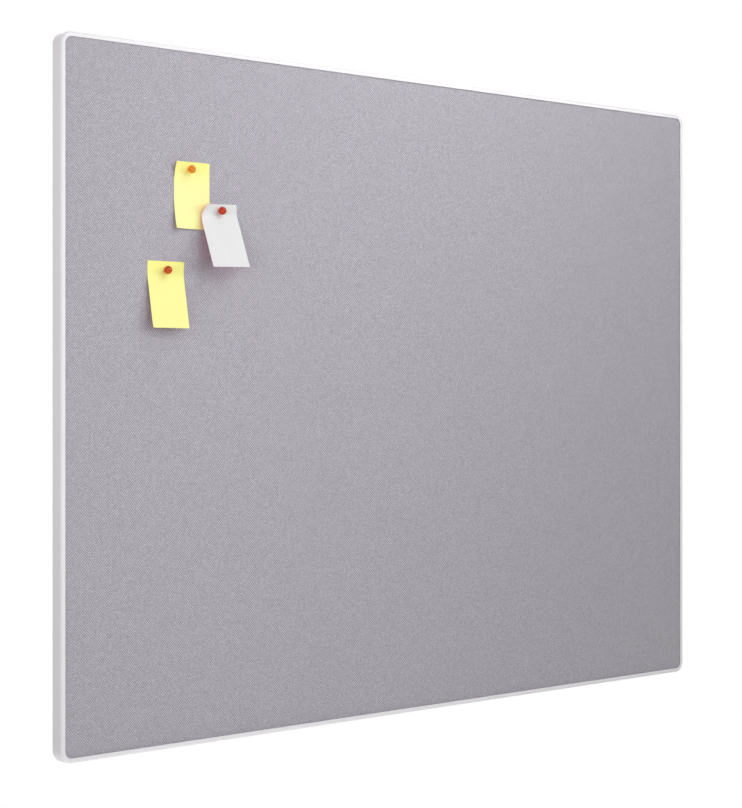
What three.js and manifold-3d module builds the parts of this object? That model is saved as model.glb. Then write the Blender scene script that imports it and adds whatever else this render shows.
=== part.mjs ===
// A wall-hung pinboard: a fabric-faced softboard in a slim white frame with rounded corners,
// four wall clips in the frame's rear channel, and three paper notes under ball-headed pins.
//
// Lengths are in millimetres and angles in radians. +X runs to the viewer's right, +Z up, and
// the front faces -Y. The wall is the plane y = 0, and the origin is the middle of the top
// rail's rear face. The letters u, v and w name directions at one side of the frame: u goes
// inward from the outer edge, v forward from the wall, and w along the side.
import * as THREE from 'three';
import { mergeVertices } from 'three/addons/utils/BufferGeometryUtils.js';
import Module from 'manifold-3d';

const wasm = await Module();
wasm.setup();

const degree = Math.PI / 180;
const quarter_turn = Math.PI / 2;

// Frame and board
const board_width = 1200;
const board_height = 900;
const frame_wall = 1.4;
const front_lip_width = 6;
const front_lip_thickness = 1.4;
const front_edge_round = 3;
const lip_nose_round = 0.7;
const flange_width = 9;
const rear_lip_thickness = 1.6;
const channel_height = 3;
const rib_thickness = 1.2;
const backing_thickness = 2.5;
const core_thickness = 8;
const fabric_thickness = 0.8;

// Clearances
const fit_gap = 0.3;
const seam_gap = 0.3;
const panel_clearance = 0.5;
const cut_overrun = 2;

// Corner pieces: the radius of their flange's inner edge, their straight arms, and their legs
const corner_hollow_radius = 7;
const corner_arm = 8;
const leg_length = 35;
const leg_nose = 4;
const leg_nose_share = 0.7;

// Countersunk screws that hold the legs in the rails
const screw_radius = 1.5;
const screw_head_radius = 2.7;
const screw_head_height = 1.2;
const screw_head_sink = 0.1;
const screw_tip = 1;
const screw_tip_cover = 0.5;
const screw_from_seam = 20;

// Wall clips: pressed from sheet, with a joggled tongue and a slotted screw hole
const clip_sheet = 1.5;
const clip_width = 40;
const clip_plate_height = 32;
const clip_joggle_run = 3;
const clip_corner_round = 4;
const clip_inset = 150;
const slot_width = 5.5;
const slot_length = 14;

// Notes: sheet size, how each one is pinned, turned and bent below its pin, and how its corners
// roll forward. A corner's across is -1 at the left and 1 at the right, its up 1 at the top and
// -1 at the bottom.
const note_thickness = 0.3;
const first_note = {
	name: 'yellow_note_upper',
	color: 0xf7ee8a,
	width: 57.5,
	length: 86.5,
	pin_from_left_edge: 24.6,
	pin_from_top_edge: 9.9,
	turn: 0,
	bend_start: 33,
	bend_radius: 60,
	bend_angle: 1.5 * degree,
	lies_on: null,
	corners: [
		{ across: -1, up: 1, fold: 30, radius: 40 },
		{ across: 1, up: 1, fold: 4.5, radius: 48 },
		{ across: -1, up: -1, fold: 41, radius: 90 },
	],
};
const second_note = {
	name: 'yellow_note_lower',
	color: 0xf7ee8a,
	width: 57.5,
	length: 86.5,
	pin_from_left_edge: 28.5,
	pin_from_top_edge: 11.4,
	turn: 0,
	bend_start: 2,
	bend_radius: 58,
	bend_angle: 10.4 * degree,
	lies_on: null,
	corners: [
		{ across: -1, up: 1, fold: 7.7, radius: 22 },
		{ across: 1, up: 1, fold: 10.3, radius: 8 },
		{ across: -1, up: -1, fold: 10.7, radius: 22.5 },
	],
};
const white_note = {
	name: 'white_note',
	color: 0xeeeef0,
	width: 61.5,
	length: 87,
	pin_from_left_edge: 33.6,
	pin_from_top_edge: 8.7,
	turn: -1.8 * degree,
	bend_start: 2,
	bend_radius: 14,
	bend_angle: 19.8 * degree,
	lies_on: first_note,
	corners: [
		{ across: -1, up: 1, fold: 26, radius: 14.5 },
	],
};
const first_pin_from_left = 197;
const first_pin_from_top = 157.5;
const second_note_drop = 43;
const second_pin_step = 38;

// The white note's pin stands clear of the first note's lower right corner, which it overlaps
const white_pin_from_first_edge = 17.1;
const white_pin_above_first_bottom = 26.1;
const rise_start_share = 0.2;
const rise_end_share = 0.75;

// Ball-headed pins
const ball_radius = 5.3;
const ball_foot_radius = 1.8;
const needle_radius = 0.6;
const needle_point = 2.5;
const needle_tip_cover = 2;
const socket_depth = 4;

// How finely round stretches are faceted
const corner_steps = 10;
const edge_steps = 5;
const round_steps = 8;
const screw_sides = 12;
const needle_sides = 10;
const ball_sides = 20;
const ball_steps = 9;
const note_columns = 14;
const note_rows = 22;

// Levels above the wall, from the rear lip to the frame's front face
const rib_rear = rear_lip_thickness + channel_height;
const rib_front = rib_rear + rib_thickness;
const backing_rear = rib_front + fit_gap;
const backing_front = backing_rear + backing_thickness;
const core_rear = backing_front + fit_gap;
const core_front = core_rear + core_thickness;
const fabric_rear = core_front + fit_gap;
const fabric_front = fabric_rear + fabric_thickness;
const lip_rear = fabric_front + fit_gap;
const frame_depth = lip_rear + front_lip_thickness;

// Sizes that follow from the ones above
const corner_radius = flange_width + corner_hollow_radius;
const corner_reach = corner_radius + corner_arm;
const leg_inward = (frame_wall + flange_width) / 2;
const leg_width = flange_width - frame_wall - 2 * fit_gap;
const leg_thickness = channel_height - 2 * fit_gap;
const leg_level = rear_lip_thickness + channel_height / 2;
const screw_end = leg_level + leg_thickness / 2 - screw_tip_cover;
const needle_hole_radius = needle_radius + fit_gap;

const x_axis = new THREE.Vector3(1, 0, 0);
const y_axis = new THREE.Vector3(0, 1, 0);
const z_axis = new THREE.Vector3(0, 0, 1);

function finish(color, roughness, metalness) {
	return new THREE.MeshStandardMaterial({ color, roughness, metalness });
}

const coated_aluminium = finish(0xe9e6ea, 0.45, 0.1);
const moulded_white = finish(0xe6e3e7, 0.5, 0);
const zinc_steel = finish(0xb4b8bd, 0.35, 0.9);
const softboard = finish(0xb89a6c, 0.95, 0);
const hardboard = finish(0x7a5a3c, 0.8, 0);
const grey_fabric = finish(0xaeaab4, 0.95, 0);
const orange_plastic = finish(0xd9481c, 0.3, 0);
const needle_steel = finish(0xc9ccd0, 0.25, 1);

// Six times the volume that a triangle mesh encloses, negative if its faces point inward
function signedVolume(geometry) {
	const at = geometry.attributes.position;
	const index = geometry.index;
	const [a, b, c] = [new THREE.Vector3(), new THREE.Vector3(), new THREE.Vector3()];
	let sum = 0;
	for (let i = 0; i < index.count; i += 3) {
		a.fromBufferAttribute(at, index.getX(i));
		b.fromBufferAttribute(at, index.getX(i + 1));
		c.fromBufferAttribute(at, index.getX(i + 2));
		sum += a.dot(b.cross(c));
	}
	return sum;
}

// The same surface with shared vertices merged and its faces pointing out
function closed(geometry) {
	const bare = geometry.clone();
	bare.deleteAttribute('normal');
	bare.deleteAttribute('uv');
	const merged = mergeVertices(bare);
	if (signedVolume(merged) < 0) {
		const index = merged.index;
		for (let i = 0; i < index.count; i += 3) {
			const first = index.getX(i);
			index.setX(i, index.getX(i + 1));
			index.setX(i + 1, first);
		}
	}
	return merged;
}

function toSolid(geometry) {
	const merged = closed(geometry);
	const vertProperties = new Float32Array(merged.attributes.position.array);
	const triVerts = new Uint32Array(merged.index.array);
	return new wasm.Manifold(new wasm.Mesh({ numProp: 3, vertProperties, triVerts }));
}

function toGeometry(solid) {
	const mesh = solid.getMesh();
	const geometry = new THREE.BufferGeometry();
	geometry.setAttribute('position', new THREE.BufferAttribute(mesh.vertProperties, mesh.numProp));
	geometry.setIndex(new THREE.BufferAttribute(mesh.triVerts, 1));
	return geometry;
}

// One body from some that overlap, with others cut out of it
function combine(joined, cut) {
	let solid = toSolid(joined[0]);
	for (const geometry of joined.slice(1)) {
		solid = solid.add(toSolid(geometry));
	}
	for (const geometry of cut) {
		solid = solid.subtract(toSolid(geometry));
	}
	return toGeometry(solid);
}

function geometryFrom(points, triangles) {
	const geometry = new THREE.BufferGeometry();
	geometry.setFromPoints(points);
	geometry.setIndex(triangles);
	return geometry;
}

// A closed body through copies of one outline: each station's matrix carries the flat outline
// to its place, and the stations advance along the outline's own normal
function sweep(outline, stations) {
	const count = outline.length;
	const points = [];
	for (const station of stations) {
		for (const p of outline) {
			points.push(new THREE.Vector3(p.x, p.y, 0).applyMatrix4(station));
		}
	}
	const triangles = [];
	for (let i = 0; i + 1 < stations.length; i += 1) {
		for (let j = 0; j < count; j += 1) {
			const next = (j + 1) % count;
			const [a, b] = [i * count + j, i * count + next];
			triangles.push(a, b, b + count, a, b + count, a + count);
		}
	}
	const last = (stations.length - 1) * count;
	for (const [a, b, c] of THREE.ShapeUtils.triangulateShape(outline, [])) {
		triangles.push(c, b, a);
		triangles.push(last + a, last + b, last + c);
	}
	return geometryFrom(points, triangles);
}

// A plate parallel to the wall: an outline in X and Z, filled between two levels
function plate(shape, rear, front) {
	const options = { depth: front - rear, bevelEnabled: false, curveSegments: round_steps };
	return new THREE.ExtrudeGeometry(shape, options).rotateX(quarter_turn).translate(0, -rear, 0);
}

// An outline in u and v, drawn out along w and centred on the middle of the bottom side
function sideBar(shape, length) {
	const options = { depth: length, bevelEnabled: false, curveSegments: edge_steps };
	const toSide = new THREE.Matrix4().makeBasis(z_axis, y_axis.clone().negate(), x_axis);
	return new THREE.ExtrudeGeometry(shape, options).translate(0, 0, -length / 2).applyMatrix4(toSide);
}

// A turned body about the Y direction, from points of radius and level above the wall
function turned(points, sides) {
	const profile = points.map(([radius, level]) => new THREE.Vector2(radius, -level));
	return new THREE.LatheGeometry(profile, sides);
}

function rod(radius, rear, front, sides) {
	return turned([[0, rear], [radius, rear], [radius, front], [0, front]], sides);
}

function roundedRectangle(width, height, radius) {
	const [x, y] = [width / 2 - radius, height / 2 - radius];
	const shape = new THREE.Shape();
	shape.absarc(x, -y, radius, -quarter_turn, 0);
	shape.absarc(x, y, radius, 0, quarter_turn);
	shape.absarc(-x, y, radius, quarter_turn, Math.PI);
	shape.absarc(-x, -y, radius, Math.PI, 3 * quarter_turn);
	return shape;
}

// The frame's cross-section in u and v. The rails are extruded with an open rear channel,
// and in the moulded corners that channel is solid.
function frameSection(open_channel) {
	const shape = new THREE.Shape();
	shape.moveTo(0, 0);
	shape.lineTo(flange_width, 0);
	if (open_channel) {
		shape.lineTo(flange_width, rear_lip_thickness);
		shape.lineTo(frame_wall, rear_lip_thickness);
		shape.lineTo(frame_wall, rib_rear);
		shape.lineTo(flange_width, rib_rear);
	}
	shape.lineTo(flange_width, rib_front);
	shape.lineTo(frame_wall, rib_front);
	shape.lineTo(frame_wall, lip_rear);
	shape.lineTo(front_lip_width, lip_rear);
	shape.absarc(front_lip_width - lip_nose_round, frame_depth - lip_nose_round,
		lip_nose_round, 0, quarter_turn);
	shape.absarc(front_edge_round, frame_depth - front_edge_round,
		front_edge_round, quarter_turn, Math.PI);
	shape.closePath();
	return shape;
}

// A countersunk screw whose tip ends inside the corner piece's leg
function cornerScrew() {
	const shoulder = screw_head_sink + screw_head_height;
	return turned([
		[0, screw_head_sink],
		[screw_head_radius, screw_head_sink],
		[screw_radius, shoulder],
		[screw_radius, screw_end - screw_tip],
		[0, screw_end],
	], screw_sides);
}

// The countersunk hole through a rail's rear lip
function lipHole() {
	const [head, shank] = [screw_head_radius + fit_gap, screw_radius + fit_gap];
	return turned([
		[0, -cut_overrun],
		[head, -cut_overrun],
		[head, screw_head_sink],
		[shank, screw_head_sink + screw_head_height],
		[shank, leg_level],
		[0, leg_level],
	], screw_sides);
}

function rail(run) {
	const length = run - 2 * (corner_reach + seam_gap);
	const screw_at = run / 2 - corner_reach - screw_from_seam;
	const holes = [-screw_at, screw_at].map((x) => lipHole().translate(x, 0, leg_inward));
	return combine([sideBar(frameSection(true), length)], holes);
}

// A corner's leg along +Z, narrowed at its nose so that it enters the rail's channel easily
function cornerLeg() {
	const [x, y] = [leg_width / 2, leg_thickness / 2];
	const outline = [[-x, -y], [x, -y], [x, y], [-x, y]].map(([a, b]) => new THREE.Vector2(a, b));
	const at = (z, share) => new THREE.Matrix4().makeTranslation(0, 0, z)
		.multiply(new THREE.Matrix4().makeScale(share, share, 1));
	const end = corner_arm + leg_length;
	return sweep(outline, [at(corner_arm / 2, 1), at(end - leg_nose, 1), at(end, leg_nose_share)]);
}

// The lower left corner about its bend's centre: the frame's section carried down the left
// arm, round the bend and along the lower arm, with a leg out of each end
function cornerPiece() {
	const forward = y_axis.clone().negate();
	const station = (turn, shift) => {
		const inward = new THREE.Vector3(Math.cos(turn), 0, Math.sin(turn));
		const advance = inward.clone().cross(forward);
		const edge = inward.clone().multiplyScalar(-corner_radius).addScaledVector(advance, shift);
		return new THREE.Matrix4().makeBasis(inward, forward, advance).setPosition(edge);
	};
	const stations = [station(0, -corner_arm)];
	for (let i = 0; i <= corner_steps; i += 1) {
		stations.push(station(quarter_turn * i / corner_steps, 0));
	}
	stations.push(station(quarter_turn, corner_arm));
	const outline = frameSection(false).extractPoints(edge_steps).shape;
	const leg_offset = leg_inward - corner_radius;
	const upright_leg = cornerLeg().translate(leg_offset, -leg_level, 0);
	const lying_leg = cornerLeg().rotateY(quarter_turn).translate(0, -leg_level, leg_offset);
	const pilot = rod(screw_radius + fit_gap, 0, rib_rear, screw_sides);
	const screw_at = corner_arm + screw_from_seam;
	return combine([sweep(outline, stations), upright_leg, lying_leg], [
		pilot.clone().translate(leg_offset, 0, screw_at),
		pilot.clone().translate(screw_at, 0, leg_offset),
	]);
}

// One side's wall clip, in that side's frame: a tongue in the channel, a joggle behind the
// rear lip's edge, and a plate on the wall with a slotted hole for its screw
function wallClip() {
	const tongue_tip = frame_wall + fit_gap;
	const tongue_rear = rear_lip_thickness + fit_gap;
	const joggle_start = flange_width + fit_gap;
	const joggle_end = joggle_start + clip_joggle_run;
	const joggle_angle = Math.atan2(tongue_rear, clip_joggle_run);
	const outer_shift = clip_sheet * Math.tan(joggle_angle / 2);
	const plate_end = joggle_end + clip_plate_height;
	const side_view = new THREE.Shape([
		[tongue_tip, tongue_rear],
		[joggle_start, tongue_rear],
		[joggle_end, 0],
		[plate_end, 0],
		[plate_end, clip_sheet],
		[joggle_end + outer_shift, clip_sheet],
		[joggle_start + outer_shift, tongue_rear + clip_sheet],
		[tongue_tip, tongue_rear + clip_sheet],
	].map(([u, v]) => new THREE.Vector2(u, v)));
	const middle = (tongue_tip + plate_end) / 2;
	const plan = roundedRectangle(clip_width, plate_end - tongue_tip, clip_corner_round);
	const stock = plate(plan, -cut_overrun, frame_depth).translate(0, 0, middle);
	const slot = roundedRectangle(slot_width, slot_length, slot_width / 2);
	const slot_at = (joggle_end + plate_end) / 2;
	const slot_cut = plate(slot, -cut_overrun, frame_depth).translate(0, 0, slot_at);
	const pressed = toSolid(sideBar(side_view, clip_width + cut_overrun)).intersect(toSolid(stock));
	return toGeometry(pressed.subtract(toSolid(slot_cut)));
}

// Outlines of the board's layers, each inside the one before at the frame's corner radius
function layerOutline(inset) {
	const wall = frame_wall + panel_clearance + inset;
	return roundedRectangle(board_width - 2 * wall, board_height - 2 * wall, corner_radius - wall);
}

function backingBoard() {
	return plate(layerOutline(0), backing_rear, backing_front);
}

function needleHoles(pins, rear, front) {
	return pins.map((pin) => rod(needle_hole_radius, rear, front, needle_sides)
		.translate(pin.x, 0, pin.z));
}

function softboardCore(pins) {
	const body = plate(layerOutline(fabric_thickness + fit_gap), core_rear, core_front);
	const hole_end = core_rear + needle_tip_cover - fit_gap;
	return combine([body], needleHoles(pins, hole_end, core_front + cut_overrun));
}

// The facing covers the core's front and turns back over its edges to the backing board
function fabricFacing(pins) {
	const whole = plate(layerOutline(0), core_rear, fabric_front);
	const pocket = plate(layerOutline(fabric_thickness), core_rear - cut_overrun, fabric_rear);
	const holes = needleHoles(pins, core_rear, fabric_front + cut_overrun);
	return combine([whole], [pocket, ...holes]);
}

function smooth(value) {
	const t = Math.min(Math.max(value, 0), 1);
	return t * t * (3 - 2 * t);
}

// What lies past a fold line rolls forward on a cylinder until it has turned by the limit, and
// runs straight from there. p holds x, z and the height.
function rollPast(p, fold, direction, radius, limit) {
	const past = (p.x - fold.x) * direction.x + (p.z - fold.z) * direction.z;
	if (past <= 0) {
		return;
	}
	const angle = Math.min(past / radius, limit);
	const straight = past - radius * angle;
	const slide = radius * Math.sin(angle) + straight * Math.cos(angle) - past;
	p.x += direction.x * slide;
	p.z += direction.z * slide;
	p.height += radius * (1 - Math.cos(angle)) + straight * Math.sin(angle);
}

function bendBelowPin(note, p) {
	const fold = { x: 0, z: -note.bend_start };
	rollPast(p, fold, { x: 0, z: -1 }, note.bend_radius, note.bend_angle);
}

// How far a note's bend takes its bottom edge off the fabric
function bottomLift(note) {
	const p = { x: 0, z: note.pin_from_top_edge - note.length, height: 0 };
	bendBelowPin(note, p);
	return p.height;
}

// Where a point of a note's sheet lies, from its pin: x to the right, z up, height off the
// fabric. Corners roll forward, the left side rises if it lies on another note, and the part
// below the pin bends off the board.
function noteSurface(note, across, down) {
	const left = -note.pin_from_left_edge;
	const top = note.pin_from_top_edge;
	const p = { x: left + across * note.width, z: top - down * note.length, height: 0 };
	for (const corner of note.corners) {
		const edge = corner.across < 0 ? left : left + note.width;
		const end = corner.up > 0 ? top : top - note.length;
		const direction = { x: corner.across * Math.SQRT1_2, z: corner.up * Math.SQRT1_2 };
		const fold = { x: edge - corner.across * corner.fold, z: end };
		rollPast(p, fold, direction, corner.radius, quarter_turn);
	}
	if (note.lies_on) {
		const lift = bottomLift(note.lies_on) + note_thickness + fit_gap;
		const start = rise_start_share * white_pin_from_first_edge;
		const end = rise_end_share * white_pin_from_first_edge;
		p.height += lift * smooth((-p.x - start) / (end - start));
	}
	bendBelowPin(note, p);
	return new THREE.Vector3(p.x, -p.height, p.z);
}

// A note as a thin closed sheet: its rear skin from noteSurface, its front one a paper
// thickness further out, with the pin's hole cut through
function noteSheet(note) {
	const [rear, front] = [[], []];
	const small_share = 0.001;
	for (let row = 0; row <= note_rows; row += 1) {
		for (let column = 0; column <= note_columns; column += 1) {
			const [across, down] = [column / note_columns, row / note_rows];
			const point = noteSurface(note, across, down);
			const beside = noteSurface(note, across + small_share, down).sub(point);
			const below = noteSurface(note, across, down + small_share).sub(point);
			const outward = below.cross(beside).normalize();
			rear.push(point);
			front.push(point.clone().addScaledVector(outward, note_thickness));
		}
	}
	const [stride, offset] = [note_columns + 1, rear.length];
	const triangles = [];
	for (let row = 0; row < note_rows; row += 1) {
		for (let column = 0; column < note_columns; column += 1) {
			const a = row * stride + column;
			const [b, c, d] = [a + 1, a + stride + 1, a + stride];
			triangles.push(a, b, c, a, c, d);
			triangles.push(offset + a, offset + c, offset + b, offset + a, offset + d, offset + c);
		}
	}
	const rim = [];
	for (let column = 0; column < note_columns; column += 1) {
		rim.push(column);
	}
	for (let row = 0; row < note_rows; row += 1) {
		rim.push(row * stride + note_columns);
	}
	for (let column = note_columns; column > 0; column -= 1) {
		rim.push(note_rows * stride + column);
	}
	for (let row = note_rows; row > 0; row -= 1) {
		rim.push(row * stride);
	}
	rim.forEach((a, i) => {
		const b = rim[(i + 1) % rim.length];
		triangles.push(b, a, offset + a, b, offset + a, offset + b);
	});
	const sheet = geometryFrom([...rear, ...front], triangles);
	return combine([sheet], [rod(needle_hole_radius, -note.length, note.length, needle_sides)]);
}

// A pin's ball, cut flat at its foot, with the socket that its needle stands in
function pinHead() {
	const centre = Math.sqrt(ball_radius ** 2 - ball_foot_radius ** 2);
	const points = [
		[0, socket_depth],
		[needle_hole_radius, socket_depth],
		[needle_hole_radius, 0],
	];
	const start = Math.asin(ball_foot_radius / ball_radius);
	for (let i = 0; i < ball_steps; i += 1) {
		const angle = start + (Math.PI - start) * i / ball_steps;
		points.push([ball_radius * Math.sin(angle), centre - ball_radius * Math.cos(angle)]);
	}
	points.push([0, centre + ball_radius]);
	return turned(points, ball_sides);
}

// A needle from its tip in the core to the end of its socket, measured from the ball's foot
function pinNeedle(foot) {
	const tip = core_rear + needle_tip_cover - foot;
	return turned([
		[0, tip],
		[needle_radius, tip + needle_point],
		[needle_radius, socket_depth - fit_gap],
		[0, socket_depth - fit_gap],
	], needle_sides);
}

function addPart(group, name, geometry, material) {
	const mesh = new THREE.Mesh(closed(geometry), material);
	mesh.name = name;
	group.add(mesh);
	return mesh;
}

// The four sides as turns of the bottom one, with how far each lies out and how long it runs
const sides = [
	{ name: 'bottom', turn: 0, reach: board_height / 2, run: board_width },
	{ name: 'left', turn: quarter_turn, reach: board_width / 2, run: board_height },
	{ name: 'top', turn: 2 * quarter_turn, reach: board_height / 2, run: board_width },
	{ name: 'right', turn: 3 * quarter_turn, reach: board_width / 2, run: board_height },
];

function buildFrame(board) {
	for (const side of sides) {
		const holder = new THREE.Group();
		holder.rotation.y = side.turn;
		board.add(holder);
		addPart(holder, `${side.name}_rail`, rail(side.run), coated_aluminium).position.z = -side.reach;
		const screw_at = side.run / 2 - corner_reach - screw_from_seam;
		[-screw_at, screw_at].forEach((x, i) => {
			const screw = addPart(holder, `${side.name}_rail_screw_${i + 1}`, cornerScrew(), zinc_steel);
			screw.position.set(x, 0, leg_inward - side.reach);
		});
	}
	const [x, z] = [board_width / 2 - corner_radius, board_height / 2 - corner_radius];
	const corners = [
		['lower_left', -x, -z],
		['upper_left', -x, z],
		['upper_right', x, z],
		['lower_right', x, -z],
	];
	corners.forEach(([name, corner_x, corner_z], i) => {
		const mesh = addPart(board, `${name}_corner`, cornerPiece(), moulded_white);
		mesh.position.set(corner_x, 0, corner_z);
		mesh.rotation.y = i * quarter_turn;
	});
}

function buildClips(board) {
	for (const [side, row] of [[sides[2], 'upper'], [sides[0], 'lower']]) {
		for (const [name, x] of [['left', -1], ['right', 1]]) {
			const holder = new THREE.Group();
			holder.position.x = x * (board_width / 2 - clip_inset);
			const clip = addPart(holder, `${row}_${name}_wall_clip`, wallClip(), zinc_steel);
			clip.position.z = -side.reach;
			const turned_side = new THREE.Group();
			turned_side.rotation.y = side.turn;
			turned_side.add(clip);
			holder.add(turned_side);
			board.add(holder);
		}
	}
}

// Where the pins stand, from the board's middle. The lower yellow note hangs under the upper
// one, and the white note's pin follows the corner that the note overlaps.
function pinPlaces() {
	const first = {
		x: first_pin_from_left - board_width / 2,
		z: board_height / 2 - first_pin_from_top,
	};
	const first_right = first.x - first_note.pin_from_left_edge + first_note.width;
	const first_bottom = first.z + first_note.pin_from_top_edge - first_note.length;
	const second = {
		x: first.x - second_pin_step,
		z: first_bottom - second_note_drop - second_note.pin_from_top_edge,
	};
	const white = {
		x: first_right + white_pin_from_first_edge,
		z: first_bottom + white_pin_above_first_bottom,
	};
	return [first, second, white];
}

function buildNotes(board, pins) {
	const notes = [first_note, second_note, white_note];
	const note_level = fabric_front + fit_gap;
	const foot = note_level + note_thickness + fit_gap;
	notes.forEach((note, i) => {
		const holder = new THREE.Group();
		holder.position.set(pins[i].x, 0, pins[i].z);
		board.add(holder);
		const sheet = addPart(holder, note.name, noteSheet(note), finish(note.color, 0.85, 0));
		sheet.position.y = -note_level;
		sheet.rotation.y = note.turn;
		addPart(holder, `${note.name}_pin_head`, pinHead(), orange_plastic).position.y = -foot;
		addPart(holder, `${note.name}_pin_needle`, pinNeedle(foot), needle_steel).position.y = -foot;
	});
}

function buildPinboard() {
	const board = new THREE.Group();
	board.position.z = flange_width / 2 - board_height / 2;
	const pins = pinPlaces();
	buildFrame(board);
	addPart(board, 'backing_board', backingBoard(), hardboard);
	addPart(board, 'softboard_core', softboardCore(pins), softboard);
	addPart(board, 'fabric_facing', fabricFacing(pins), grey_fabric);
	buildClips(board);
	buildNotes(board, pins);
	const pinboard = new THREE.Group();
	pinboard.add(board);
	return pinboard;
}

export default buildPinboard();
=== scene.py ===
"""A wall-hung pinboard with a fabric face, a slim white frame, wall clips and three pinned notes.

Lengths are in metres and angles in radians. The board faces -Y, the wall is the plane y = 0, and
+Z is up. In the frame's cross-section u runs inward from the outer edge and v forward from the
wall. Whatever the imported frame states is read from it; the rest is set in the property groups.
"""

import math

import bmesh
import bpy
from mathutils import Matrix, Vector


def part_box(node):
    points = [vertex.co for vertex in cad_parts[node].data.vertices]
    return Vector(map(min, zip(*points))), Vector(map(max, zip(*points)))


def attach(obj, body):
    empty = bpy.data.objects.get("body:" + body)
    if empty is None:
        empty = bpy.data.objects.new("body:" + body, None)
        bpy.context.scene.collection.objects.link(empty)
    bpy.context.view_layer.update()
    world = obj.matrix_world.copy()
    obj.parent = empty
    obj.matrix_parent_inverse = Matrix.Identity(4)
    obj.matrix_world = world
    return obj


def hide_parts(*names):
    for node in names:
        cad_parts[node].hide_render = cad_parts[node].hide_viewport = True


bl_info = {
    "name": "Pinboard",
    "version": (1, 0, 0),
    "blender": (4, 5, 0),
    "location": "3D View > Sidebar > Pinboard",
    "description": "Builds a fabric pinboard with its frame, wall clips, notes and pins",
    "category": "Add Mesh",
}

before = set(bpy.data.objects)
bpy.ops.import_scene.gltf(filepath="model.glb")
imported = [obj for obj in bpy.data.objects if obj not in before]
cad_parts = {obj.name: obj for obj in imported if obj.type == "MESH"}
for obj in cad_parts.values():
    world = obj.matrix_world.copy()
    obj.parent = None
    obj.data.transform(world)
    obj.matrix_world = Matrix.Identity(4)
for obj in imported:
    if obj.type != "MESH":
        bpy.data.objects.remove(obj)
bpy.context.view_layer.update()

QUARTER = math.pi / 2
SIDES = ("bottom", "left", "top", "right")
CORNERS = ("lower_left", "upper_left", "upper_right", "lower_right")
CLIPS = ("upper_left", "upper_right", "lower_left", "lower_right")


def around(*nodes):
    """The box round some CAD nodes, as its lowest and its highest corner."""
    corners = [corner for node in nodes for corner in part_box(node)]
    low = Vector([min(corner[i] for corner in corners) for i in range(3)])
    high = Vector([max(corner[i] for corner in corners) for i in range(3)])
    return low, high


board_low, board_high = around(*(f"{side}_rail" for side in SIDES))
board_middle = (board_low + board_high) / 2
board_width = board_high.x - board_low.x
board_height = board_high.z - board_low.z
frame_depth = -board_low.y
wall_middle = Vector((board_middle.x, 0, board_middle.z))


# Sizes and colours that a user would change

def length(name, description, default):
    return bpy.props.FloatProperty(
        name=name, description=description, default=default, min=0, precision=4, unit="LENGTH"
    )


def amount(name, description, default):
    return bpy.props.FloatProperty(
        name=name, description=description, default=default, min=0, max=1, subtype="FACTOR"
    )


def power(name, description, default):
    return bpy.props.FloatProperty(
        name=name, description=description, default=default, min=0, unit="POWER"
    )


def colour(name, description, default):
    return bpy.props.FloatVectorProperty(
        name=name, description=description, default=default, size=3, min=0, max=1, subtype="COLOR"
    )


class PINBOARD_PG_frame(bpy.types.PropertyGroup):
    """The extruded rails, the moulded corners and the screws that join them."""

    wall: length("Wall", "Thickness of the outer wall", 0.0014)
    lip_width: length("Lip width", "How far the front lip reaches inward", 0.006)
    lip_thickness: length("Lip thickness", "Thickness of the front lip", 0.0014)
    front_round: length("Front round", "Radius of the front outer edge", 0.003)
    nose_round: length("Nose round", "Radius of the front lip's inner edge", 0.0007)
    flange_width: length("Flange width", "How far the rear lip and the rib reach inward", 0.009)
    rear_lip: length("Rear lip", "Thickness of the rear lip", 0.0016)
    channel: length("Channel", "Clear height of the rear channel", 0.003)
    rib: length("Rib", "Thickness of the rib behind the board", 0.0012)
    edge_round: length("Edge round", "Radius of the extrusion's small outer edges", 0.00025)
    root_round: length("Root round", "Radius of the extrusion's inner corners", 0.0003)
    hollow_radius: length("Corner hollow", "Radius of the flange's inner edge at a corner", 0.007)
    corner_arm: length("Corner arm", "Straight part of a corner piece beside its bend", 0.008)
    leg_length: length("Leg length", "How far a corner's leg reaches into the rail", 0.035)
    leg_nose: length("Leg nose", "Length of the leg's narrowed end", 0.004)
    leg_nose_share: amount("Leg nose share", "Size of the leg's end beside its full section", 0.7)
    seam: length("Seam", "Gap between a rail's end and a corner piece", 0.0001)
    fit: length("Fit", "Gap round the legs, screws and clip tongues", 0.0003)
    screw_radius: length("Screw radius", "Radius of the screw's shank", 0.0015)
    screw_head: length("Screw head", "Radius of the countersunk head", 0.0027)
    head_height: length("Head height", "Height of the countersunk head", 0.0012)
    head_sink: length("Head sink", "How far the head lies below the rear face", 0.0001)
    screw_from_seam: length("Screw place", "From a rail's end to its screw", 0.02)
    coat: colour("Coat", "Powder coat on the rails", (0.82, 0.8, 0.82))
    moulding: colour("Moulding", "Plastic of the corner pieces", (0.815, 0.795, 0.815))
    zinc: colour("Zinc", "Plating on the screws and the wall clips", (0.52, 0.54, 0.565))


class PINBOARD_PG_board(bpy.types.PropertyGroup):
    """The layers that the frame holds: backing board, softboard and fabric."""

    fabric_thickness: length("Fabric", "Thickness of the facing", 0.0008)
    fabric_bend: length("Fabric bend", "Radius at which the facing turns over the edge", 0.0016)
    grid: length("Grid", "Spacing of the facing's mesh", 0.012)
    unevenness: length("Unevenness", "How far the stretched facing strays from flat", 0.00008)
    pitch: length("Thread pitch", "Spacing of the facing's threads", 0.0018)
    warp: colour("Warp", "Threads that run up and down", (0.504, 0.479, 0.532))
    weft: colour("Weft", "Threads that run across", (0.312, 0.297, 0.33))
    hardboard: colour("Hardboard", "Backing board", (0.2, 0.115, 0.06))
    softboard: colour("Softboard", "Fibre core that takes the pins", (0.5, 0.36, 0.2))


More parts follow.
